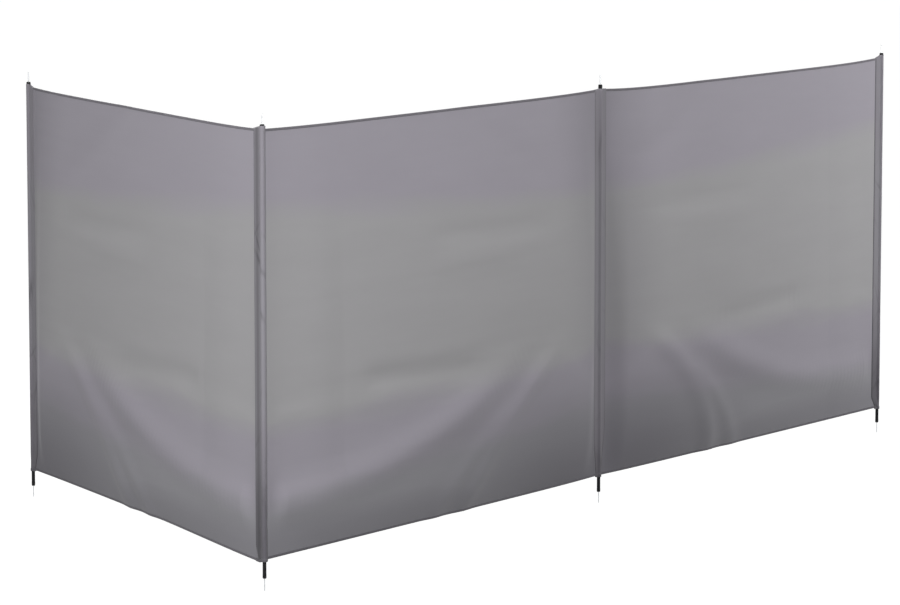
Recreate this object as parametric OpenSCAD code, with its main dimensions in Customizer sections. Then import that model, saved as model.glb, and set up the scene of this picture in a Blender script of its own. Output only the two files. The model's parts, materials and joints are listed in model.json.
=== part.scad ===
// Beach windbreak: three equal bays of cloth on four upright poles, pitched as an L.
// The origin is at the foot of the corner pole, on the ground. +X runs along the
// long side, past the third pole. The short bay turns off by corner_angle.

/* [Bays] */
// Length of each bay, from pole to pole
bay_w = 2000; // [600:10:2500]
// Angle inside the corner, in degrees
corner_angle = 62; // [45:0.5:170]
// How far the last bay turns away from the middle one, in degrees
far_turn = -1; // [-60:1:60]

/* [Cloth] */
// Height of the cloth, hems included
cloth_height = 1400; // [500:10:1800]
// How far the bottom hem hangs above the ground
cloth_gap = 60; // [30:1:150]
// Thickness of a bay of cloth
cloth_t = 2; // [1:0.5:4]
// Height of a hem
hem_h = 8; // [5:1:30]
// Thickness of a hem
hem_t = 3.2; // [3:0.1:6]

/* [Pole pockets] */
// From the axis of an outer pole to the seam of its pocket
end_pocket = 42; // [20:1:80]
// From the axis of the corner pole to the seam on the short side
corner_pocket = 58; // [20:1:80]
// From the axis of the corner pole to the seam on the long side
corner_seam = 15; // [12:1:60]
// From the axis of the third pole to each seam
side_pocket = 32; // [18:1:60]
// Diameter of the pocket around the pole
pocket_d = 18; // [18:0.5:30]
// How far the pocket stands above the top hem and below the bottom hem
pocket_end = 4; // [2:1:20]

/* [Poles] */
// Outer diameter of the pole
pole_d = 12.5; // [10:0.5:14]
// Wall of the pole
pole_wall = 0.8; // [0.6:0.1:1.5]
// How far the pole's cap stands above the top hem
pole_rise = 15; // [12:1:60]

/* [Caps] */
// Diameter of the top cap
cap_d = 15; // [15:0.5:17]
// Height of the top cap
cap_h = 12; // [8:1:16]
// Diameter of the foot
foot_d = 13; // [12:0.5:16]
// Height of the foot
foot_h = 14; // [8:1:20]
// Length of the plug that each cap has inside the pole
plug_h = 24; // [10:1:40]

/* [Pins] */
// Diameter of a pin
pin_d = 4; // [3:0.5:5]
// Length that stands above the top cap, its tip included
top_pin = 36; // [20:1:80]
// Length that goes into the ground, its tip included
ground_pin = 42; // [20:1:200]

/* [Hidden] */
$fn = 48;

cloth_top = cloth_gap + cloth_height;
pole_top = cloth_top + pole_rise;
// The cap's roof over the end of the pole
cap_roof = 3;
cap_round = 3;
foot_round = 3.4;
// The hidden end of a pin is a little thicker, so that its shoulder stops at the cap
shank_d = pin_d + 0.4;
shank_h = 20;
tip_h = 4;
tip_d = 1.2;
// Room between the pocket and what stands in it
slack = 0.3;

// Which way each bay runs, from its first pole to its next one
bay_angle = [corner_angle + 180, 0, far_turn];

// Where the four poles stand
corner = [0, 0];
outer = bay_w * [cos(corner_angle), sin(corner_angle)];
third = [bay_w, 0];
last = third + bay_w * [cos(far_turn), sin(far_turn)];
pole_at = [outer, corner, third, last];

// How far each bay of cloth stops from the axes of its two poles
bay_start = [end_pocket, corner_seam, side_pocket];
bay_end = [corner_pocket, side_pocket, end_pocket];

// Stand the children on the place of pole i
module at_pole(i) {
    translate(pole_at[i]) children();
}

// A hollow tube from inside its foot to inside its top cap
module pole(i) {
    color("#26262a")
    at_pole(i)
    translate([0, 0, foot_h])
    difference() {
        cylinder(h = pole_top - cap_roof - foot_h, d = pole_d);
        translate([0, 0, -1])
        cylinder(h = pole_top, d = pole_d - 2 * pole_wall);
    }
}

// Half the outline of a turned cap with a rounded shoulder, its flat end on the X axis
module shoulder(d, h, r) {
    difference() {
        union() {
            translate([d / 2 - r, r]) circle(r);
            square([d / 2 - r, h]);
            translate([0, r]) square([d / 2, h - r]);
        }
        translate([-d, -1]) square([d, h + 2]);
    }
}

// A round cap that slips over the pole, with a plug inside the pole
module top_cap(i) {
    color("#1c1c1e")
    at_pole(i)
    translate([0, 0, pole_top])
    mirror([0, 0, 1])
    difference() {
        union() {
            difference() {
                rotate_extrude() shoulder(cap_d, cap_h, cap_round);
                translate([0, 0, cap_roof]) cylinder(h = cap_h, d = pole_d);
            }
            cylinder(h = cap_roof + plug_h, d = pole_d - 2 * pole_wall);
        }
        translate([0, 0, -1]) cylinder(h = shank_h + 1, d = shank_d);
    }
}

// A rounded foot as wide as the pole, with a plug inside the pole
module foot(i) {
    color("#1c1c1e")
    at_pole(i)
    difference() {
        union() {
            rotate_extrude() shoulder(foot_d, foot_h, foot_round);
            cylinder(h = foot_h + plug_h, d = pole_d - 2 * pole_wall);
        }
        translate([0, 0, -1]) cylinder(h = shank_h + 1, d = shank_d);
    }
}

// A steel pin, its hidden end above z = 0 and its tip down
module pin(length) {
    color("#c8cacc") {
        cylinder(h = shank_h, d = shank_d);
        translate([0, 0, tip_h - length]) cylinder(h = length - tip_h, d = pin_d);
        translate([0, 0, -length]) cylinder(h = tip_h, d1 = tip_d, d2 = pin_d);
    }
}

module top_pin(i) {
    at_pole(i) translate([0, 0, pole_top]) mirror([0, 0, 1]) pin(top_pin);
}

module ground_pin(i) {
    at_pole(i) pin(ground_pin);
}

// One side of a pocket: it narrows from just inside the round to the cloth at its seam
module pocket_side(angle, reach) {
    lean = acos((pocket_d - cloth_t) / 2 / reach);
    start = (pocket_d / 2 - slack) * [cos(lean), sin(lean)];
    rotate(angle)
    polygon([
        start,
        [reach, cloth_t / 2],
        [reach, -cloth_t / 2],
        [start.x, -start.y],
    ]);
}

// A sewn pocket that holds a pole. Each side is [angle, reach to the seam].
module pocket(i, sides) {
    color("#7c7a80")
    at_pole(i)
    difference() {
        union() {
            translate([0, 0, cloth_gap - pocket_end])
            cylinder(h = cloth_height + 2 * pocket_end, d = pocket_d);
            for (side = sides)
                translate([0, 0, cloth_gap])
                linear_extrude(cloth_height)
                pocket_side(side[0], side[1]);
        }
        cylinder(h = pole_top, d = pole_d + 2 * slack);
        translate([0, 0, pole_top - cap_h - slack]) cylinder(h = cap_h * 2, d = cap_d + 2 * slack);
    }
}

// A strip of bay i, standing z high from bottom, between its two pocket seams
module strip(i, bottom, z, t) {
    translate(pole_at[i])
    rotate(bay_angle[i])
    translate([bay_start[i], -t / 2, bottom])
    cube([bay_w - bay_start[i] - bay_end[i], t, z]);
}

module cloth_bay(i) {
    color("#8e8c92") strip(i, cloth_gap + hem_h, cloth_height - 2 * hem_h, cloth_t);
}

module top_hem(i) {
    color("#6f6d72") strip(i, cloth_top - hem_h, hem_h, hem_t);
}

module bottom_hem(i) {
    color("#6f6d72") strip(i, cloth_gap, hem_h, hem_t);
}

pole(0);  // pole_1
pole(1);  // pole_2
pole(2);  // pole_3
pole(3);  // pole_4
top_cap(0);  // top_cap_1
top_cap(1);  // top_cap_2
top_cap(2);  // top_cap_3
top_cap(3);  // top_cap_4
foot(0);  // foot_1
foot(1);  // foot_2
foot(2);  // foot_3
foot(3);  // foot_4
top_pin(0);  // top_pin_1
top_pin(1);  // top_pin_2
top_pin(2);  // top_pin_3
top_pin(3);  // top_pin_4
ground_pin(0);  // ground_pin_1
ground_pin(1);  // ground_pin_2
ground_pin(2);  // ground_pin_3
ground_pin(3);  // ground_pin_4
pocket(0, [[bay_angle[0], end_pocket]]);  // pocket_1
pocket(1, [[corner_angle, corner_pocket], [0, corner_seam]]);  // pocket_2
pocket(2, [[180, side_pocket], [far_turn, side_pocket]]);  // pocket_3
pocket(3, [[far_turn + 180, end_pocket]]);  // pocket_4
cloth_bay(0);  // cloth_bay_1
cloth_bay(1);  // cloth_bay_2
cloth_bay(2);  // cloth_bay_3
top_hem(0);  // top_hem_1
top_hem(1);  // top_hem_2
top_hem(2);  // top_hem_3
bottom_hem(0);  // bottom_hem_1
bottom_hem(1);  // bottom_hem_2
bottom_hem(2);  // bottom_hem_3
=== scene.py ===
# %% [markdown]
# # A beach windbreak
#
# Three bays of grey woven polyester stand on four black poles, pitched as an L. The
# CAD model gives the hard parts and says where everything is. Blender gives the cloth
# its folds, hems, pockets and stitching, and gives every part its finish.
#
# All lengths are in metres, in the CAD model's own frame: the origin is at the foot of
# the corner pole and +Z is up.

import json
import math

import bpy
import numpy as np
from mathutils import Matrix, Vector


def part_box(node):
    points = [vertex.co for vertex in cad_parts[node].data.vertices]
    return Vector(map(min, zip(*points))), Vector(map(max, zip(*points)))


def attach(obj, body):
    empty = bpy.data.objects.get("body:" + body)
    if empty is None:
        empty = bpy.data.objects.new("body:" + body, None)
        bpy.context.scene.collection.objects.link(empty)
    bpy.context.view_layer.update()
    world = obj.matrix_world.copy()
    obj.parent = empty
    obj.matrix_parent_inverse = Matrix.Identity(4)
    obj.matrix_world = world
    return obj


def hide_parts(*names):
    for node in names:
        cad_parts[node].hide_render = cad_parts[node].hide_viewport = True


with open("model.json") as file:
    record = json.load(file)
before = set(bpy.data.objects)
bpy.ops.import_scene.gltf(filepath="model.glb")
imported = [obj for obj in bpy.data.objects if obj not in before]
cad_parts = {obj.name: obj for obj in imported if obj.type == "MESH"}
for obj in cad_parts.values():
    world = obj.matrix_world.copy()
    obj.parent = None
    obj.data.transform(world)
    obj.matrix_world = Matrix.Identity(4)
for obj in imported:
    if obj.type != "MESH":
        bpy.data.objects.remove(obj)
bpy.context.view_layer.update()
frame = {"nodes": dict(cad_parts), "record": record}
MM = 0.001

# %% [markdown]
# ## Where the poles and the bays are
#
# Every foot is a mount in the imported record, so its place gives the axis of its pole.
# A bay runs from one pole to the next. It helps to give each bay two directions of its
# own: along, from its first pole to its second, and out, square to the cloth on its
# outer face. Then a fold can be described once and used on any bay.

# %% Poles and bays
mounts = {mount["name"]: mount for mount in frame["record"]["mounts"]}
poles = [Vector(mounts[f"foot_face_{i}"]["pos_m"]) for i in (1, 2, 3, 4)]

cloth_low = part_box("bottom_hem_1")[0].z
cloth_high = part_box("top_hem_1")[1].z
cloth_height = cloth_high - cloth_low
pocket_low, pocket_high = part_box("pocket_1")[0].z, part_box("pocket_1")[1].z
bay_width = (poles[1] - poles[0]).length


def reach_along(node, start, along):
    """The nearest and farthest that a CAD node comes along a bay, from its first pole."""
    steps = [(v.co - start).dot(along) for v in frame["nodes"][node].data.vertices]
    return min(steps), max(steps)


bays = []
for number in (1, 2, 3):
    start, end = poles[number - 1], poles[number]
    along = (end - start).normalized()
    first, last = reach_along(f"cloth_bay_{number}", start, along)
    bays.append({
        "number": number,
        "start": start,
        "along": along,
        "out": Vector((along.y, -along.x, 0)),
        "first": first,
        "last": last,
        # The folds fan out from the first pole and, both ways, from the third
        "from_end": number == 2,
    })
    print(f"bay {number}: cloth from {first:.3f} to {last:.3f} m of {bay_width:.3f} m")

# %% [markdown]
# ## Small helpers
#
# Colours are written as the hex values that a paint chart would give, and one function
# turns them into the linear values that Blender works in. One more function adds a
# shader node with its settings and its links, because a material is mostly that.

# %% Helpers for colours and nodes
def linear(hex_colour):
    """A hex colour as linear red, green, blue and alpha."""
    values = [int(hex_colour[i:i + 2], 16) / 255 for i in (1, 3, 5)]
    return [v / 12.92 if v <= 0.04045 else ((v + 0.055) / 1.055) ** 2.4 for v in values] + [1]


def add(tree, kind, settings, links=()):
    """Adds a node. Settings go to its sockets by name, or else to its properties."""
    node = tree.nodes.new(kind)
    for name, value in settings.items():
        if isinstance(name, int) or name in node.inputs:
            node.inputs[name].default_value = value
        else:
            setattr(node, name, value)
    for name, output in dict(links).items():
        tree.links.new(output, node.inputs[name])
    return node


def start_material(name, colour, **sockets):
    """A new material, its tree and its shader, with the shader's own sockets set."""
    material = bpy.data.materials.new(name)
    material.use_nodes = True
    shader = material.node_tree.nodes["Principled BSDF"]
    shader.inputs["Base Color"].default_value = linear(colour)
    material.diffuse_color = linear(colour)
    for socket, value in sockets.items():
        shader.inputs[socket.replace("_", " ")].default_value = value
    return material, material.node_tree, shader


print("white is", [round(v, 3) for v in linear("#FFFFFF")])

# %% [markdown]
# ## The woven cloth
#
# Windbreak cloth is plain-woven polyester, dyed before it is cut. Its threads are about
# 0.3 mm apart, which is finer than a view of the whole windbreak can show, so the
# weave is drawn at 2.5 mm. The threads go over and under each other, and a product of
# two waves gives those bumps. The weave has a wave along the cloth and a wave up it, and
# a wave that follows only height or only distance needs no unwrapped coordinates: the
# mesh stores how far each point is along its bay and up it, in an attribute.
#
# Cloth has no mirror shine. Its fibres give a soft sheen at a glancing angle, so the
# roughness is high and a little sheen is set.

# %% The weave
THREAD = 2.5 * MM
WEAVE_STRENGTH, WEAVE_HEIGHT = 0.25, 0.2 * MM


def woven_bumps(tree, split):
    """Over and under: a wave along times a wave up, with one thread to half a wave."""
    turns = math.pi / THREAD
    waves = []
    for axis in ("X", "Y"):
        turned = add(tree, "ShaderNodeMath", {"operation": "MULTIPLY", 1: turns}, {0: split[axis]})
        wave = add(tree, "ShaderNodeMath", {"operation": "SINE"}, {0: turned.outputs[0]})
        waves.append(wave.outputs[0])
    weave = add(tree, "ShaderNodeMath", {"operation": "MULTIPLY"}, {0: waves[0], 1: waves[1]})
    bump = add(tree, "ShaderNodeBump", {"Strength": WEAVE_STRENGTH, "Distance": WEAVE_HEIGHT},
               {"Height": weave.outputs[0]})
    return bump.outputs[0]


print("threads drawn", round(THREAD / MM, 1), "mm apart")

# %% [markdown]
# The colour is painted in bands up the cloth, as painted tint and shade: a darker violet
# grey near the top hem and in a band low down, a plain grey between them and a darker
# blue grey at the foot. The plain part is wider at the far end of the bay. A slow noise,
# stretched along the cloth as the loom leaves it, makes the edges of the bands wavy and
# the tone a little lighter and darker at random.

# %% Painted tint and shade in bands
# How high up the cloth, as a share of it, each band of painted tint and shade starts or ends
SHADE_BANDS = [(0.17, "foot"), (0.215, "hem"), (0.31, "hem"), (0.36, "plain"), (0.725, "plain"),
             (0.775, "hem")]


def banded_shade_and_tone(tree, place, split, shades):
    """The cloth's colour: bands of painted tint and shade up it, times a random tone."""
    stretched = add(tree, "ShaderNodeMapping", {"Scale": (1.2, 6, 1)}, {"Vector": place})
    dye = add(tree, "ShaderNodeTexNoise", {"Scale": 2.0, "Detail": 4, "Roughness": 0.55},
              {"Vector": stretched.outputs[0]})
    height = add(tree, "ShaderNodeMapRange",
                 {"From Max": cloth_height, "To Min": -0.5, "To Max": 0.5}, {"Value": split["Y"]})
    narrower = add(tree, "ShaderNodeMapRange",
                   {"From Min": 0.3, "From Max": 1.9, "To Min": 1.0, "To Max": 0.8},
                   {"Value": split["X"]})
    wavy = add(tree, "ShaderNodeMapRange", {"To Min": 0.47, "To Max": 0.53},
               {"Value": dye.outputs[0]})
    height = add(tree, "ShaderNodeMath", {"operation": "MULTIPLY_ADD"},
                 {0: height.outputs[0], 1: narrower.outputs[0], 2: wavy.outputs[0]})
    # painted tint and shade: the hem and foot bands are darker than the plain grey
    bands = add(tree, "ShaderNodeValToRGB", {}, {"Fac": height.outputs[0]})
    stops = bands.color_ramp.elements
    for stop, (position, shade) in ((0, SHADE_BANDS[0]), (1, SHADE_BANDS[-1])):
        stops[stop].position, stops[stop].color = position, linear(shades[shade])
    for position, shade in SHADE_BANDS[1:-1]:
        stops.new(position).color = linear(shades[shade])
    lighter = add(tree, "ShaderNodeMapRange", {"To Min": 0.955, "To Max": 1.045},
                  {"Value": dye.outputs[0]})
    tone = add(tree, "ShaderNodeMix", {"data_type": "RGBA", "blend_type": "MULTIPLY", "Factor": 1},
               {6: bands.outputs[0], 7: lighter.outputs[0]})
    return tone.outputs[2]


print(len(SHADE_BANDS), "stops from the foot to the top hem")

# %% [markdown]
# Painted shade darkens the foot of the cloth, most of it near the pole that the folds
# start at. More painted shade runs along the bottom hem and beside that pole, and lies
# along the seams and in the creases of the pockets. The mesh marks those seams and
# creases with a number at each point, from 0 to 1. The darkest of the first three
# counts at each place.

# %% Painted shade at the foot, beside the pole and in seams and creases
# the colour of the painted shade along the pocket seams and in their creases
SEAM_SHADE_COLOUR = "#3A393D"


def darken_with_painted_shade(tree, split, unshaded_colour, shade_colour):
    """The cloth's colour darkened by painted shade: at the foot, beside the pole, and in the seams
    and creases.
    """
    # painted shade low down, most of it near the pole that the folds start at
    low = add(tree, "ShaderNodeMapRange",
              {"From Min": 0.0, "From Max": 0.55, "To Min": 1.0, "To Max": 0.0,
               "interpolation_type": "SMOOTHSTEP"}, {"Value": split["Y"]})
    near = add(tree, "ShaderNodeMapRange",
               {"From Min": 0.1, "From Max": 1.3, "To Min": 1.0, "To Max": 0.2,
                "interpolation_type": "SMOOTHSTEP"}, {"Value": split["X"]})
    low_and_near = add(tree, "ShaderNodeMath", {"operation": "MULTIPLY"},
                       {0: low.outputs[0], 1: near.outputs[0]})
    # painted shade along the bottom hem
    hem_shade = add(tree, "ShaderNodeMapRange",
                   {"From Min": 0.03, "From Max": 0.20, "To Min": 0.55, "To Max": 0.0,
                    "interpolation_type": "SMOOTHSTEP"}, {"Value": split["Y"]})
    # painted shade beside the pole that the folds start at
    beside = add(tree, "ShaderNodeMapRange",
                 {"From Min": 0.0, "From Max": 0.38, "To Min": 0.34, "To Max": 0.0,
                  "interpolation_type": "SMOOTHSTEP"}, {"Value": split["X"]})
    shade_amount = add(tree, "ShaderNodeMath", {"operation": "MAXIMUM"},
               {0: beside.outputs[0], 1: hem_shade.outputs[0]})
    shade_amount = add(tree, "ShaderNodeMath", {"operation": "MAXIMUM"},
               {0: shade_amount.outputs[0], 1: low_and_near.outputs[0]})
    shade_mixed = add(tree, "ShaderNodeMix", {"data_type": "RGBA", 7: linear(shade_colour)},
               {0: shade_amount.outputs[0], 6: unshaded_colour})
    # painted shade in the seams and creases of the pockets, read from the mesh
    creases = add(tree, "ShaderNodeAttribute", {"attribute_name": "crease"})
    seam_shaded = add(tree, "ShaderNodeMix", {"data_type": "RGBA", 7: linear(SEAM_SHADE_COLOUR)},
                  {0: creases.outputs["Fac"], 6: shade_mixed.outputs[2]})
    return seam_shaded.outputs[2]


# %% [markdown]
# The same cloth is used in three ways: single in the bays, double in the pockets, and
# folded over in the hems and cuffs. Each is a little darker than the one before, as
# painted shade.

# %% Woven polyester
def woven_polyester(name, colour, hem_colour, foot_colour, shade_colour):
    """Plain-woven cloth. Its map holds metres across it, from where the folds start, and up it."""
    material, tree, shader = start_material(
        name, colour, Roughness=0.82, IOR=1.5, Sheen_Weight=0.12, Sheen_Roughness=0.5,
        Specular_IOR_Level=0.3)
    place = add(tree, "ShaderNodeUVMap", {"uv_map": "cloth"}).outputs["UV"]
    split = add(tree, "ShaderNodeSeparateXYZ", {}, {"Vector": place}).outputs
    shades = {"foot": foot_colour, "hem": hem_colour, "plain": colour}
    unshaded_colour = banded_shade_and_tone(tree, place, split, shades)
    tree.links.new(darken_with_painted_shade(tree, split, unshaded_colour, shade_colour), shader.inputs["Base Color"])
    tree.links.new(woven_bumps(tree, split), shader.inputs["Normal"])
    return material


# The colours: plain, painted tint and shade near the hems and at the foot, and painted shade
bay_cloth = woven_polyester("woven polyester", "#9A999B", "#96929B", "#919095", "#68666D")
# the pockets and the hems get darker copies of the cloth, as painted shade
shaded_pocket_cloth = woven_polyester("doubled woven polyester with painted shade",
                               "#7E7C82", "#7D7A81", "#77747B", "#4C4A50")
shaded_hem_cloth = woven_polyester("folded woven polyester with painted shade", "#6B696F", "#6A676E", "#67646B", "#57555B")
print("cloth materials:", [m.name for m in (bay_cloth, shaded_pocket_cloth, shaded_hem_cloth)])

# %% [markdown]
# ## The folds
#
# The cloth is held along two poles and along nothing else, so it can't lie flat: its own
# weight pulls it into folds that start where it is held and fan out as they fall. A
# cloth simulation would find folds of this kind, but not the same ones from pole to pole
# in every bay. A sculptor would push them in by hand. Here each fold is one curve with a
# height and a width, and the cloth is the sum of them.
#
# A place on the cloth is given as (metres from the pole that the folds fan out from,
# metres above the bottom hem). A fold is a curve through a start and an end, drawn
# towards a bend between them. Heights are in millimetres, and a negative one is a
# valley.

# %% Folds as curves
FOLDS = [
    # start, bend, end, height, width at the start, width at the end
    # the fan from the pole
    ((0.36, 0.56), (1.10, 0.13), (1.98, 0.18), 18, 0.044, 0.048),
    ((0.12, 0.55), (0.56, 0.38), (0.74, -0.05), 11, 0.030, 0.038),
    ((0.46, 0.38), (0.74, 0.22), (0.92, -0.05), 7, 0.026, 0.032),
    # the long dents at mid-height
    ((0.60, 0.51), (0.95, 0.515), (1.32, 0.53), -7, 0.029, 0.029),
    ((0.95, 0.445), (1.50, 0.46), (1.95, 0.46), 2.5, 0.030, 0.030),
    ((0.15, 0.96), (0.50, 0.965), (0.95, 0.98), -4.0, 0.027, 0.027),
    ((0.35, 0.885), (0.65, 0.885), (0.95, 0.88), 1.8, 0.024, 0.024),
    ((0.45, 0.81), (0.70, 0.80), (0.90, 0.80), -1.3, 0.024, 0.024),
    # from the top corner
    ((0.10, 1.10), (0.40, 1.20), (0.75, 1.42), -4.5, 0.040, 0.050),
]
CURVE_STEPS = 60
# How much farther from that pole the folds of each bay lie
FOLD_SLIP = {1: 0.20, 2: 0.18, 3: 0.0}


def smooth_step(x):
    """0 below 0, 1 above 1, with a soft start and end between."""
    x = np.clip(x, 0, 1)
    return x * x * (3 - 2 * x)


def fold_height(away, up, fold):
    """How far one fold lifts the cloth at each place, in metres."""
    start, bend, end, height, wide_0, wide_1 = fold
    start, bend, end = np.array(start), np.array(bend), np.array(end)
    t = np.linspace(0, 1, CURVE_STEPS)[:, None]
    curve = (1 - t) ** 2 * start + 2 * t * (1 - t) * bend + t ** 2 * end
    nearest = np.full(away.shape, np.inf)
    at = np.zeros(away.shape)
    for step, (x, y) in enumerate(curve):
        gap = (away - x) ** 2 + (up - y) ** 2
        closer = gap < nearest
        nearest = np.where(closer, gap, nearest)
        at = np.where(closer, step / (CURVE_STEPS - 1), at)
    wide = wide_0 + (wide_1 - wide_0) * at
    # a fold rises from nothing, and is still partly there where it ends
    ends = smooth_step(at / 0.3) * smooth_step((1 - at) / 0.2 + 0.3)
    return height * MM * ends * np.exp(-nearest / (2 * wide ** 2))


print(len(FOLDS), "folds in each bay")

# %% [markdown]
# Under the folds lies the slow shape of the whole bay. It bellies out quickly from the
# pole that the folds start at and falls back slowly towards the other one. The first bay
# is pressed in, and the other two belly out. A bay is held along its hems, so each slow
# curve is nothing at the foot, grows to a peak and dies away towards the top. The steep
# part of such a curve faces the ground, and it is what makes the foot of the cloth dark.
# A few fine ripples run along the bay, because the weave is pulled tight from pole to
# pole. Everything fades out at the two seams, where the cloth has to meet the pockets.

# %% The shape of a bay
rng = np.random.default_rng(7)
RIPPLES = [
    # waves up the cloth, waves along it, phase, height in metres
    (rng.uniform(14, 34), rng.uniform(0.4, 1.6), rng.uniform(0, 2 * math.pi),
     rng.uniform(0.02, 0.07) * MM)
    for _ in range(14)
]
# How far each slow curve stands out, and how high up the cloth it does so most
BELLY, BELLY_PEAK = {1: -26 * MM, 2: 52 * MM, 3: 46 * MM}, 0.70
FOOT_CURL, FOOT_PEAK = 17 * MM, 0.17
CORNER_CURL, CORNER_PEAK = 38 * MM, 0.45
# The share of its belly that the cloth keeps at its hems
BELLY_LEAST = 0.25
# Shares of the way along the bay: where the curl beside the pole is fullest and where it
# ends, how soon the belly and the foot's curl grow, and how soon all of it settles again
CORNER_FULL, CORNER_END = 0.22, 0.8
BELLY_GROWS, FOOT_GROWS, SETTLES = 0.12, 0.05, 0.16
# How far from a seam the folds are whole
FOLD_FADE = 0.10


def swell(x, peak, full):
    """A slow curve: 0 at the start, 1 at its peak and 0 at the full distance."""
    rising = 1 - (1 - x / peak) ** 2
    falling = 1 - np.clip((x - peak) / (full - peak), 0, 1) ** 2
    return np.where(x < peak, rising, falling)


def cloth_out(bay, away, up):
    """How far the cloth of a bay stands out from the line between its poles."""
    near, far = bay["first"], bay_width - bay["last"]
    if bay["from_end"]:
        near, far = far, near
    share = np.clip((away - near) / (bay_width - near - far), 0, 1)
    belly = (1 - np.exp(-share / BELLY_GROWS)) * (1 - share)
    fullness = BELLY_LEAST + (1 - BELLY_LEAST) * swell(up, BELLY_PEAK, cloth_height)
    beside_pole = swell(share, CORNER_FULL, CORNER_END)
    lift = BELLY[bay["number"]] * belly * fullness
    lift += FOOT_CURL * swell(up, FOOT_PEAK, cloth_height) * smooth_step(share / FOOT_GROWS)
    lift += CORNER_CURL * swell(up, CORNER_PEAK, cloth_height) * beside_pole
    lift *= smooth_step((1 - share) / SETTLES)
    from_start = away - FOLD_SLIP[bay["number"]]
    detail = sum(fold_height(from_start, up, fold) for fold in FOLDS)
    for waves_up, waves_along, phase, height in RIPPLES:
        turn = waves_up * up * 2 * math.pi / cloth_height + waves_along * share * 6 + phase
        detail += height * np.sin(turn)
    nearest = np.minimum(share, 1 - share) * bay_width
    return lift + detail * smooth_step(nearest / FOLD_FADE)


# %% [markdown]
# The hems aren't straight either. The top one sags between the poles, most of the drop
# being close to them. The bottom one is straight but for the first bay, which hangs a
# little lower where it comes to the corner pole. Only the half of the cloth that is
# nearer to a hem moves with it.

# %% Sag of the hems
TOP_SAG = {1: 8 * MM, 2: 5.5 * MM, 3: 11 * MM}
# The higher this is, the nearer to the poles the top hem drops
SAG_POWER = 6
CORNER_DROOP = 12 * MM


def cloth_up(bay, share, up):
    """The height of a place on the cloth above the line of the bottom hems, once it hangs."""
    full = 1 - np.abs(2 * share - 1) ** SAG_POWER
    upper_half = smooth_step((up / cloth_height - 0.5) * 2)
    lower_half = smooth_step((0.5 - up / cloth_height) * 2)
    moved = up - TOP_SAG[bay["number"]] * full * upper_half
    if bay["number"] == 1:
        moved = moved - CORNER_DROOP * smooth_step((share - 0.5) * 2) * lower_half
    return moved


def cloth_points(bay, along, up):
    """Places on a bay in the room: metres along from its first pole, and metres up."""
    away = bay_width - along if bay["from_end"] else along
    lift = cloth_out(bay, away, up)
    height = cloth_low + cloth_up(bay, along / bay_width, up)
    flat = np.array(bay["start"]) + along[..., None] * np.array(bay["along"])
    return flat + lift[..., None] * np.array(bay["out"]) + height[..., None] * np.array((0, 0, 1))


# %% [markdown]
# ## Where the seams run
#
# Each bay is sewn to a pocket at both ends. A seam runs straight up the cloth, but at
# the foot it curves in towards the pole, because the pocket is gathered where it was
# finished off. It does so most beside the third pole. The bay and the pocket both ask
# the same function for the seam, so they always meet.

# %% Seams
GATHER = {
    # bay and pole: how far up the seam starts to curve in, and how much of the pocket is left
    (1, 1): (0.07, 0.55), (1, 2): (0.05, 0.70), (2, 2): (0.03, 1.00),
    (2, 3): (0.10, 0.50), (3, 3): (0.19, 0.30), (3, 4): (0.05, 0.35),
}


def seam_reach(number, pole, up):
    """Metres from a pole to the seam of a bay, at each height above the bottom hem."""
    bay = bays[number - 1]
    full = bay["first"] if pole == number else bay_width - bay["last"]
    start, left = GATHER[number, pole]
    return full * (left + (1 - left) * smooth_step(up / start))


# %% [markdown]
# ## The bays of cloth
#
# Each bay is one grid of points, fine enough that a fold has a dozen of them across it.
# It is thickened to 0.6 mm, which is a light outdoor cloth, and it stands for the flat
# slab in the CAD model. Its edges reach a little way into the pockets, as sewn edges do.
# Three helpers do what every piece of cloth needs: they make a mesh, list the faces of a
# grid, and store the map that the material reads.

# %% Helpers for meshes
def make_mesh(name, points, faces, material, thickness=0):
    """A smooth mesh object, thickened on both sides of its points if it is a sheet."""
    mesh = bpy.data.meshes.new(name)
    mesh.from_pydata([tuple(p) for p in points], [], faces)
    mesh.polygons.foreach_set("use_smooth", [True] * len(mesh.polygons))
    mesh.materials.append(material)
    piece = bpy.data.objects.new(name, mesh)
    bpy.context.scene.collection.objects.link(piece)
    if thickness:
        solid = piece.modifiers.new("thickness", "SOLIDIFY")
        solid.thickness = thickness
        solid.offset = 0
    return piece


def grid_faces(rows, columns, closed=False):
    """The quads of a grid of points listed row by row. A closed grid joins each row's ends."""
    faces = []
    for row in range(rows - 1):
        for column in range(columns if closed else columns - 1):
            beside = (column + 1) % columns
            here, above = row * columns, (row + 1) * columns
            faces.append((here + column, here + beside, above + beside, above + column))
    return faces


def set_cloth_map(piece, along, up):
    """Stores metres along and up at every corner of a piece's faces, as its cloth map."""
    layer = piece.data.uv_layers.new(name="cloth")
    index = np.empty(len(piece.data.loops), int)
    piece.data.loops.foreach_get("vertex_index", index)
    layer.data.foreach_set("uv", np.stack([along[index], up[index]], 1).ravel())


# %% Make the bays
CLOTH_THICKNESS = 0.6 * MM
COLUMNS, ROWS = 200, 140
EDGE_INSIDE = 3 * MM
# How far the cloth stops inside the edge of its hems
HEM_COVERS = 1 * MM


def bay_span(bay, up):
    """Where the cloth of a bay starts and ends along the bay, at each height."""
    number = bay["number"]
    first = seam_reach(number, number, up) - EDGE_INSIDE
    last = bay_width - seam_reach(number, number + 1, up) + EDGE_INSIDE
    return first, last


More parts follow.
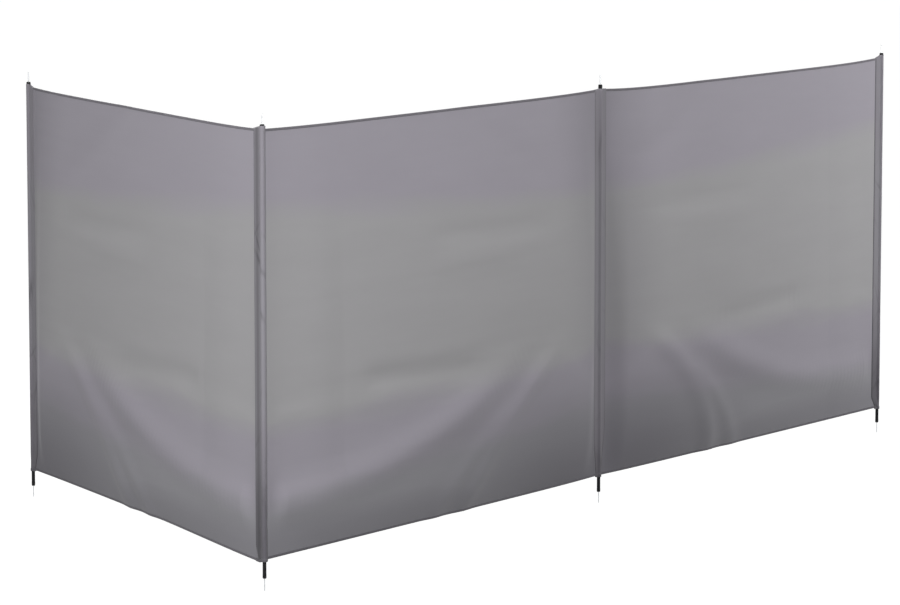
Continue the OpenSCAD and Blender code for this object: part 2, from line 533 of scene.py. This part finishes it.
heights = np.linspace(HEM_COVERS, cloth_height - HEM_COVERS, ROWS)
for bay in bays:
    share, up = np.meshgrid(np.linspace(0, 1, COLUMNS), heights)
    first, last = bay_span(bay, up)
    along = first + (last - first) * share
    points = cloth_points(bay, along, up).reshape(-1, 3)
    piece = make_mesh(f"bay_{bay['number']}", points, grid_faces(ROWS, COLUMNS), bay_cloth,
                      CLOTH_THICKNESS)
    away = bay_width - along if bay["from_end"] else along
    set_cloth_map(piece, away.ravel(), up.ravel())
    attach(piece, "root")
    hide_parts(f"cloth_bay_{bay['number']}")
    print(piece.name, len(points), "points")

# %% [markdown]
# ## The hems
#
# A hem is the edge of the cloth folded over twice and stitched down. Folded cloth is
# stiffer, and its material is a darker copy of the cloth, as painted shade. It is made by
# carrying a small rounded outline along the edge of the cloth, tilted as the cloth is
# there. The thread draws it in, so its thickness is puckered, in some places more than
# in others.

# %% Make the hems
HEM_HEIGHT = 9 * MM
HEM_THICKNESS = 2.6 * MM
PUCKER, PUCKER_DEPTH, PUCKER_BEAT = 14 * MM, 0.22, 9
# A lower power makes the outline squarer
SQUARED = 0.6
OUTLINE = 12
HEM_STEPS = 300


def hem_line(bay, top):
    """Along a hem: how far along the bay, the middle, half its height, and its outer side."""
    bottom = cloth_height - HEM_HEIGHT if top else 0.0
    first, last = bay_span(bay, np.array(bottom))
    along = np.linspace(first, last, HEM_STEPS)
    low = cloth_points(bay, along, np.full(HEM_STEPS, bottom))
    high = cloth_points(bay, along, np.full(HEM_STEPS, bottom + HEM_HEIGHT))
    side = np.cross(np.gradient(low, axis=0), high - low)
    side /= np.linalg.norm(side, axis=1)[:, None]
    return along, (low + high) / 2, (high - low) / 2, side


def make_hem(bay, top):
    """The folded edge along the top or the foot of a bay."""
    along, middle, rise, side = hem_line(bay, top)
    waves = np.sin(along * 2 * math.pi / PUCKER)
    pucker = 1 + PUCKER_DEPTH * waves * np.sin(along * PUCKER_BEAT)
    rows, heights = [], []
    for turn in np.linspace(0, 2 * math.pi, OUTLINE, endpoint=False):
        # a squared circle: flat faces with rounded edges
        across = np.sign(math.cos(turn)) * abs(math.cos(turn)) ** SQUARED * HEM_THICKNESS / 2
        upward = np.sign(math.sin(turn)) * abs(math.sin(turn)) ** SQUARED
        rows.append(middle + (across * pucker)[:, None] * side + upward * rise)
        heights.append(rows[-1][:, 2] - cloth_low)
    count = OUTLINE * HEM_STEPS
    faces = [tuple(i % count for i in face) for face in grid_faces(OUTLINE + 1, HEM_STEPS)]
    ends = [tuple(row * HEM_STEPS for row in reversed(range(OUTLINE))),
            tuple(row * HEM_STEPS + HEM_STEPS - 1 for row in range(OUTLINE))]
    place = "top_hem" if top else "bottom_hem"
    piece = make_mesh(f"{place}_cloth_{bay['number']}", np.concatenate(rows), faces + ends,
                      shaded_hem_cloth)
    set_cloth_map(piece, np.tile(along, OUTLINE), np.concatenate(heights))
    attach(piece, "root")
    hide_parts(f"{place}_{bay['number']}")
    return piece


hems = [[make_hem(bay, top) for top in (True, False)] for bay in bays]
print(sum(len(pair) for pair in hems), "hems")

# %% [markdown]
# ## The pole pockets
#
# A pocket is a strip of the same cloth, sewn to the bays along its edges, with the pole
# inside. Seen from above, the cloth goes round the pole, falls together behind it in a
# crease, and lies flat and double as far as the seam. A flap goes on over the bay.
#
# The outline is found by asking, for every direction from the pole, how far the
# outermost of these shapes reaches. It is worked out twice, for a full pocket and for
# the gathered end at its foot, and each height takes a mixture of the two.
#
# The cloth leaves the round where it is 0.8 of the round's radius out and 0.6 of it wide
# of the middle. It goes on from there at the circle's own slope and flattens out.

# %% Outline of a pocket
SLACK = 2.2 * MM
ROUND = (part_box("pole_1")[1].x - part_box("pole_1")[0].x) / 2 + SLACK
FLAT_HALF = 1.6 * MM
LEAVES_OUT, LEAVES_WIDE = 0.8, 0.6
PROFILE_STEPS, DIRECTIONS = 400, 40000
POCKET_OUTLINE = 96
POCKET_ROWS = 200
# The bay and pole of every seam that each pocket has
SEAMS = {1: [(1, 1)], 2: [(1, 2), (2, 2)], 3: [(2, 3), (3, 3)], 4: [(3, 4)]}
# How far the flap goes past a seam, and the one seam where it is narrower
USUAL_FLAP = 5 * MM
FLAP = {(2, 2): 1.5 * MM}


def tail_profile(reach):
    """Half the thickness of a pocket, from the side of its pole out to its seam."""
    x = np.linspace(0, reach, PROFILE_STEPS)
    leaves = LEAVES_OUT * ROUND
    drop = LEAVES_WIDE * ROUND - FLAT_HALF
    flare = FLAT_HALF + drop * np.exp(-(x - leaves) / (LEAVES_WIDE / LEAVES_OUT * drop))
    half = np.where(x < leaves, np.sqrt(np.clip(ROUND ** 2 - x ** 2, 0, None)), flare)
    half *= np.sqrt(np.clip((reach - x) / (2 * MM), 0, 1))
    return x, half


def pocket_outline(number, up):
    """Evenly spaced places round a pocket at one height, as x and y from its pole."""
    turn = np.linspace(0, 2 * math.pi, DIRECTIONS, endpoint=False)
    reach = np.full(turn.shape, ROUND)
    for seam in SEAMS[number]:
        bay = bays[seam[0] - 1]
        way = 1 if seam[0] == number else -1
        towards = math.atan2(way * bay["along"].y, way * bay["along"].x)
        off = np.abs((turn - towards + math.pi) % (2 * math.pi) - math.pi)
        x, half = tail_profile(seam_reach(*seam, np.array(up)) + FLAP.get(seam, USUAL_FLAP))
        angle, length = np.arctan2(half, x)[::-1], np.hypot(x, half)[::-1]
        reach = np.maximum(reach, np.where(off < angle[-1], np.interp(off, angle, length), 0))
    x, y = reach * np.cos(turn), reach * np.sin(turn)
    steps = np.hypot(np.diff(x, append=x[0]), np.diff(y, append=y[0]))
    travelled = np.concatenate([[0], np.cumsum(steps)])
    even = np.linspace(0, travelled[-1], POCKET_OUTLINE, endpoint=False)
    x, y = (np.interp(even, travelled, np.append(line, line[0])) for line in (x, y))
    return np.stack([x, y], 1), travelled[-1]


# %% [markdown]
# The creases are short folds, like those of the bays, in the pocket's own two
# measures: metres round it and metres up it. They are drawn at random with a fixed
# seed, so that they come out the same each time. There are more of them near the foot.

# %% Creases of a pocket
CREASES = 40


def pocket_creases(around, up, perimeter, seed):
    """How far the creases move the cloth of a pocket, in metres."""
    draw = np.random.default_rng(seed)
    moved = np.zeros(around.shape)
    for _ in range(CREASES):
        place, height = draw.uniform(0, perimeter), draw.beta(0.8, 1.4) * cloth_height
        lean = draw.uniform(-0.9, 0.9)
        long, wide = draw.uniform(0.02, 0.08), draw.uniform(0.003, 0.007)
        size = draw.uniform(-1.6, 0.9) * MM
        near = (around - place + perimeter / 2) % perimeter - perimeter / 2
        rise = up - height
        with_it = rise * math.cos(lean) + near * math.sin(lean)
        across = near * math.cos(lean) - rise * math.sin(lean)
        moved += size * np.exp(-(with_it / long) ** 2 - (across / wide) ** 2)
    return moved


# %% [markdown]
# Painted shade lies along the seams and in the creases. Each point of the mesh stores how
# much, and the cloth's material reads it.

# %% Painted shade of a pocket
# How dark the painted shade along each seam is: above its foot, and at its foot
SEAM_SHADE = {(1, 1): (0.10, 0.70), (1, 2): (0.60, 0.85), (2, 2): (0.50, 0.80),
              (2, 3): (0.05, 0.20), (3, 3): (0.10, 0.95), (3, 4): (0.50, 0.90)}
# How wide it is, how high its foot reaches, and the most painted shade that there is anywhere
SHADE_WIDTH, SHADE_HEIGHT, MOST_SHADE = 6 * MM, 0.35, 0.8


def seam_shade_marks(number, up, rings):
    """How much painted shade the seams put on each place of a pocket, from 0 to 1: most of all at
    its foot.
    """
    shade_marks = np.zeros(rings.shape[:-1])
    for seam in SEAMS[number]:
        high, low = SEAM_SHADE[seam]
        strength = (low + (high - low) * smooth_step(up / SHADE_HEIGHT))[:, None]
        bay = bays[seam[0] - 1]
        way = 1 if seam[0] == number else -1
        along = way * (rings[..., 0] * bay["along"].x + rings[..., 1] * bay["along"].y)
        end = (seam_reach(*seam, up) + FLAP.get(seam, USUAL_FLAP))[:, None]
        shade_marks = np.maximum(shade_marks, strength * np.exp(-((end - along) / SHADE_WIDTH) ** 2))
    return shade_marks


# %% [markdown]
# A pocket is a stack of outlines, one for each height, pushed in and out by its creases.
# Its top edge climbs to the cap of its pole, and its foot hangs a little below the hems.

# %% Make a pocket
POCKET_THICKNESS = 0.7 * MM
# How far the top edge of each pocket climbs, and how deep its creases are
CLIMB = {1: 9 * MM, 2: 11 * MM, 3: 2 * MM, 4: 9 * MM}
CREASED = {1: 0.7, 2: 0.8, 3: 0.35, 4: 0.8}
# How far each pocket is, for its painted tint and shade, from where a bay's folds start
FROM_FOLDS = {1: 0.9, 2: 0.4, 3: 1.4, 4: 0.4}


def outward(points):
    """The outward direction at each place of outlines that run anticlockwise."""
    step = np.roll(points, -1, axis=-2) - np.roll(points, 1, axis=-2)
    side = np.stack([step[..., 1], -step[..., 0]], -1)
    return side / np.linalg.norm(side, axis=-1)[..., None]


def pocket_ring(number, up):
    """The outlines of a pocket at several heights, each a mixture of its two outlines."""
    full, perimeter = pocket_outline(number, cloth_height / 2)
    foot, _ = pocket_outline(number, 0)
    start = max(GATHER[seam][0] for seam in SEAMS[number])
    mix = smooth_step(up / start)[:, None, None]
    return foot * (1 - mix) + full * mix, perimeter


def make_pocket(number):
    """The sewn sleeve round one pole."""
    pole = poles[number - 1]
    up = np.linspace(0, 1, POCKET_ROWS) * cloth_height
    rings, perimeter = pocket_ring(number, up)
    out = np.linalg.norm(rings, axis=-1)
    seam = max(seam_reach(*each, cloth_height / 2) for each in SEAMS[number])
    near_pole = 1 - np.clip((out - ROUND) / (seam - ROUND), 0, 1)
    low = cloth_low + (pocket_low - cloth_low) * near_pole
    high = cloth_high - HEM_COVERS + CLIMB[number] * near_pole
    share = (up / cloth_height)[:, None]
    z = low + (high - low) * share
    around = np.broadcast_to(np.linspace(0, perimeter, POCKET_OUTLINE, endpoint=False), z.shape)
    # creases can't go through the pole, and are free where the cloth lies flat
    room = np.clip((out - ROUND) / (8 * MM), 0.3, 1)
    room *= 1 - 0.8 * smooth_step((out - seam + 6 * MM) / (5 * MM))
    creases = CREASED[number] * pocket_creases(around, z - cloth_low, perimeter, number)
    # painted shade along the seams and in the valleys of the creases
    shade_marks = seam_shade_marks(number, up, rings) + np.clip(-creases / (3 * MM), 0, 0.5)
    shade_marks = np.clip(shade_marks, 0, MOST_SHADE)
    flat = rings + outward(rings) * (creases * room)[..., None]
    points = np.stack([pole.x + flat[..., 0], pole.y + flat[..., 1], z], -1).reshape(-1, 3)
    faces = grid_faces(POCKET_ROWS, POCKET_OUTLINE, True)
    piece = make_mesh(f"shaded_pocket_cloth_{number}", points, faces, shaded_pocket_cloth, POCKET_THICKNESS)
    set_cloth_map(piece, around.ravel() + FROM_FOLDS[number], (z - cloth_low).ravel())
    # the painted shade is stored on the mesh as its crease attribute
    piece.data.attributes.new("crease", "FLOAT", "POINT").data.foreach_set("value", shade_marks.ravel())
    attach(piece, "root")
    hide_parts(f"pocket_{number}")
    print(piece.name, f"is {perimeter * 1000:.0f} mm round")
    return piece, perimeter


# %% [markdown]
# The foot of each pocket is finished with a cuff: its end is folded up and stitched, so
# it is a little thicker than the sleeve, and it is given the darker copy of the cloth as
# painted shade. At the corner pole the cuff has slipped and hangs lower on the side of
# the first bay.

# %% Cuffs
CUFF_HEIGHT = 11 * MM
CUFF_DROP = {2: 11 * MM}
# A cuff is as wide as its pocket is at its foot, or this far up it
CUFF_AS_WIDE_AS = {2: 0.04}
# Round a cuff's edge: millimetres out from the pocket, and the share of the height
CUFF_EDGE = [(0.2, 1), (1.1, 0.95), (1.3, 0.5), (1.3, 0.15), (0.8, 0), (-0.3, 0), (-0.3, 0.6)]


def make_cuff(number):
    """The folded end at the foot of a pocket."""
    pole = poles[number - 1]
    outline, _ = pocket_outline(number, CUFF_AS_WIDE_AS.get(number, 0))
    side = outward(outline)
    out = np.linalg.norm(outline, axis=1)
    near_pole = 1 - smooth_step((out - ROUND) / (25 * MM))
    low = cloth_low + (pocket_low - cloth_low) * near_pole - 1.5 * MM
    low -= CUFF_DROP.get(number, 0) * (1 - near_pole)
    rows = []
    for out_by, up_by in CUFF_EDGE:
        flat = outline + side * out_by * MM
        z = low + up_by * CUFF_HEIGHT
        rows.append(np.stack([pole.x + flat[:, 0], pole.y + flat[:, 1], z], 1))
    points = np.concatenate(rows)
    # the last row joins the first again
    faces = [tuple(i % len(points) for i in face)
             for face in grid_faces(len(rows) + 1, POCKET_OUTLINE, True)]
    piece = make_mesh(f"cuff_{number}", points, faces, shaded_hem_cloth)
    around = np.tile(np.arange(POCKET_OUTLINE) * MM, len(rows))
    set_cloth_map(piece, around, points[:, 2] - cloth_low)
    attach(piece, "root")
    return piece


# %% Sew the pockets and their cuffs
for number in (1, 2, 3, 4):
    piece, perimeter = make_pocket(number)
    cuff = make_cuff(number)

# %% [markdown]
# ## Stitching
#
# Polyester lockstitch thread, dark grey, runs along every hem and every seam. Its real
# pitch is 3 mm. It is drawn at 6 mm, so that single stitches show. Each stitch is a
# short thread of six sides, thick in the middle and sunk into the cloth at its ends.
# All stitches of a bay are one mesh.

# %% Thread
STITCH_PITCH = 6 * MM
STITCH_LENGTH = 4 * MM
THREAD_RADIUS = 0.45 * MM
SIDES = 6
# The three rings of a stitch: place along it, thickness, and how far it is sunk
STITCH_RINGS = [(-0.5, 0.35, 1), (0, 1, 0), (0.5, 0.35, 1)]
# How far inside the edge of the flap a seam is sewn
SEAM_INSET = 3 * MM
SEAM_STEPS = 200
thread = start_material("polyester thread", "#4C4B50", Roughness=0.6, IOR=1.5, Sheen_Weight=0.2)[0]


def stitch_row(line, side, off):
    """Stitches along a line of points: each is a spindle of three rings, off from the line."""
    steps = np.linalg.norm(np.diff(line, axis=0), axis=1)
    travelled = np.concatenate([[0], np.cumsum(steps)])
    middles = np.arange(STITCH_PITCH, travelled[-1] - STITCH_PITCH, STITCH_PITCH)
    points = []
    for share, thick, sunk in STITCH_RINGS:
        at = middles + share * STITCH_LENGTH
        centre = np.stack([np.interp(at, travelled, line[:, i]) for i in range(3)], 1)
        out = np.stack([np.interp(at, travelled, side[:, i]) for i in range(3)], 1)
        ahead = np.stack([np.interp(at + MM, travelled, line[:, i]) for i in range(3)], 1) - centre
        across = np.cross(ahead / MM, out)
        centre = centre + out * (off - sunk * THREAD_RADIUS)
        for turn in np.linspace(0, 2 * math.pi, SIDES, endpoint=False):
            way = math.cos(turn) * out + math.sin(turn) * across
            points.append(centre + THREAD_RADIUS * thick * way)
    faces = grid_faces(len(STITCH_RINGS), SIDES, True)
    last = SIDES * (len(STITCH_RINGS) - 1)
    faces += [tuple(reversed(range(SIDES))), tuple(range(last, last + SIDES))]
    count = len(middles)
    all_faces = [tuple(i * count + k for i in face) for k in range(count) for face in faces]
    return np.concatenate(points), all_faces


def sew(bay):
    """All the thread of one bay: along both hems and up both seams, on both faces."""
    rows = []
    for top in (True, False):
        _, middle, rise, side = hem_line(bay, top)
        inner = middle + rise * (-0.45 if top else 0.45)
        for face in (1, -1):
            rows.append(stitch_row(inner, side * face, HEM_THICKNESS / 2))
    up = np.linspace(HEM_HEIGHT, cloth_height - HEM_HEIGHT, SEAM_STEPS)
    number = bay["number"]
    for pole in (number, number + 1):
        reach = seam_reach(number, pole, up) + FLAP.get((number, pole), USUAL_FLAP) - SEAM_INSET
        along = reach if pole == number else bay_width - reach
        line = cloth_points(bay, along, up)
        side = np.tile(np.array(bay["out"]), (len(up), 1))
        for face in (1, -1):
            rows.append(stitch_row(line, side * face, FLAT_HALF + 0.4 * MM))
    points, faces, start = [], [], 0
    for row_points, row_faces in rows:
        points.append(row_points)
        faces += [tuple(i + start for i in face) for face in row_faces]
        start += len(row_points)
    piece = make_mesh(f"stitching_{number}", np.concatenate(points), faces, thread)
    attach(piece, "root")
    print(piece.name, len(faces), "faces")


for bay in bays:
    sew(bay)

# %% [markdown]
#
# Each bay is a sheet cut to a rectangle: the distance between its seams by the height
# of the cloth. The folds only take up slack, so the finished cloth measures a little
# more than a flat one between the same seams.

# %% [markdown]
# ## Poles, caps and pins
#
# These are hard parts, so the CAD model's own shapes stay, and only their finish is
# made here.
#
# - The poles are steel tube with black powder paint, which has a fine orange-peel
#   texture and a satin shine.
# - The caps and feet are moulded polypropylene: black all through, duller than paint,
#   with the fine grain of an etched mould.
# - The pins are steel wire with a bright zinc coat. Zinc is a metal, so its colour is
#   in its reflections, and its faint crystals blur them a little.

# %% Hard finishes
GRAIN_HEIGHT = 0.1 * MM
# How much smoother and rougher than its mean a surface is from place to place
SMOOTHER, ROUGHER = 0.06, 0.08


def grained(name, colour, grain, depth, **sockets):
    """A hard surface with a fine, even grain, whose size is in metres."""
    material, tree, shader = start_material(name, colour, **sockets)
    place = add(tree, "ShaderNodeTexCoord", {}).outputs["Object"]
    noise = add(tree, "ShaderNodeTexNoise", {"Scale": 1 / grain, "Detail": 3}, {"Vector": place})
    bump = add(tree, "ShaderNodeBump", {"Strength": depth, "Distance": GRAIN_HEIGHT},
               {"Height": noise.outputs[0]})
    mean = sockets["Roughness"]
    rough = add(tree, "ShaderNodeMapRange", {"To Min": mean - SMOOTHER, "To Max": mean + ROUGHER},
                {"Value": noise.outputs[0]})
    tree.links.new(rough.outputs[0], shader.inputs["Roughness"])
    tree.links.new(bump.outputs[0], shader.inputs["Normal"])
    return material


powder_paint = grained("matt black powder paint", "#18181A", 1.2 * MM, 0.35,
                       Roughness=0.5, IOR=1.5, Specular_IOR_Level=0.12)
moulded_plastic = grained("moulded polypropylene", "#141415", 0.6 * MM, 0.5,
                          Roughness=0.55, IOR=1.49, Specular_IOR_Level=0.15)
zinc_wire = grained("zinc-plated wire", "#CFD1D3", 0.8 * MM, 0.2, Roughness=0.4, Metallic=1)

FINISHES = {"pole": powder_paint, "top_cap": moulded_plastic, "foot": moulded_plastic,
            "top_pin": zinc_wire, "ground_pin": zinc_wire}
for part, finish in FINISHES.items():
    for number in (1, 2, 3, 4):
        node = frame["nodes"][f"{part}_{number}"]
        node.data.materials.clear()
        node.data.materials.append(finish)
print("finished", 4 * len(FINISHES), "hard parts")

# %% [markdown]
# ## Floor, light and camera
#
# The windbreak stands on the tips of its ground pins on a white floor, so that the pins
# can be seen. The floor is lit as a white backdrop is, until it has no shadows: it
# glows, and it is kept from throwing that light back up at the cloth.
#
# Flat cloth shows its folds only in light that falls across it. So the light comes from
# soft boxes of uneven strength: a strong one beside the first bay, one in front of the
# corner pole, one beyond the far pole and two overhead. Each end of the cloth that is
# near a box is pale, and the ends between the boxes are dark. Two more light the back.
#
# The camera stands well back with a long lens, as one does for a long object, so that
# the far bay isn't much smaller than the near one. It looks down a little.

# %% The floor and the light
floor_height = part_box("ground_pin_2")[0].z
FLOOR_HALF = 150
floor_paint, _, shader = start_material("white floor", "#3C3C3C", Roughness=0.9,
                                        Specular_IOR_Level=0.0, Emission_Strength=1.0)
shader.inputs["Emission Color"].default_value = linear("#FFFFFF")
corners = [(x * FLOOR_HALF, y * FLOOR_HALF, floor_height)
           for x, y in ((-1, -1), (1, -1), (1, 1), (-1, 1))]
floor = make_mesh("floor", corners, [(0, 1, 2, 3)], floor_paint)
floor.visible_diffuse = False

scene = bpy.context.scene
world = bpy.data.worlds.new("white room")
scene.world = world
world.use_nodes = True
background = world.node_tree.nodes["Background"]
background.inputs["Color"].default_value = linear("#FFFFFF")
background.inputs["Strength"].default_value = 0.15
scene.view_settings.view_transform = "Standard"

SOFT_BOXES = [
    # name, place, what it points at, size, power
    ("side box", (-6.0, 0.0, 4.0), (0.0, 1.0, 0.7), 2.0, 395),
    ("corner box", (-2.0, -2.6, 1.6), (0.0, 0.0, 0.8), 1.5, 68),
    ("far box", (5.4, -2.6, 1.6), (4.0, 0.0, 0.8), 1.5, 68),
    ("overhead box", (1.5, -2.2, 5.0), (1.5, 0.0, 0.5), 3.0, 43),
    ("high box", (1.5, -4.5, 5.0), (1.5, 0.0, 0.6), 3.0, 61),
    ("back box", (3.2, 4.6, 3.2), (1.6, 0.4, 0.7), 2.0, 260),
    ("inner box", (2.9, 3.0, 3.0), (0.5, 0.9, 0.7), 1.5, 80),
]
for name, place, aim, size, power in SOFT_BOXES:
    lamp = bpy.data.lights.new(name, "AREA")
    lamp.size, lamp.energy = size, power
    box = bpy.data.objects.new(name, lamp)
    box.location = place
    box.rotation_euler = (Vector(aim) - Vector(place)).to_track_quat("-Z", "Y").to_euler()
    box.visible_camera = False
    scene.collection.objects.link(box)
print(len(SOFT_BOXES), "soft boxes")

# %% The camera
HEADING = math.radians(34.66)
TILT = math.radians(-7.3)
lens = bpy.data.cameras.new("camera")
lens.sensor_width, lens.lens = 36, 172.2
lens.clip_end = 500
camera = bpy.data.objects.new("camera", lens)
camera.location = (-10.936, -8.291, 2.657)
camera.rotation_euler = (math.pi / 2 + TILT, 0, HEADING - math.pi / 2)
scene.collection.objects.link(camera)
scene.camera = camera
print("a lens of", lens.lens, "mm")
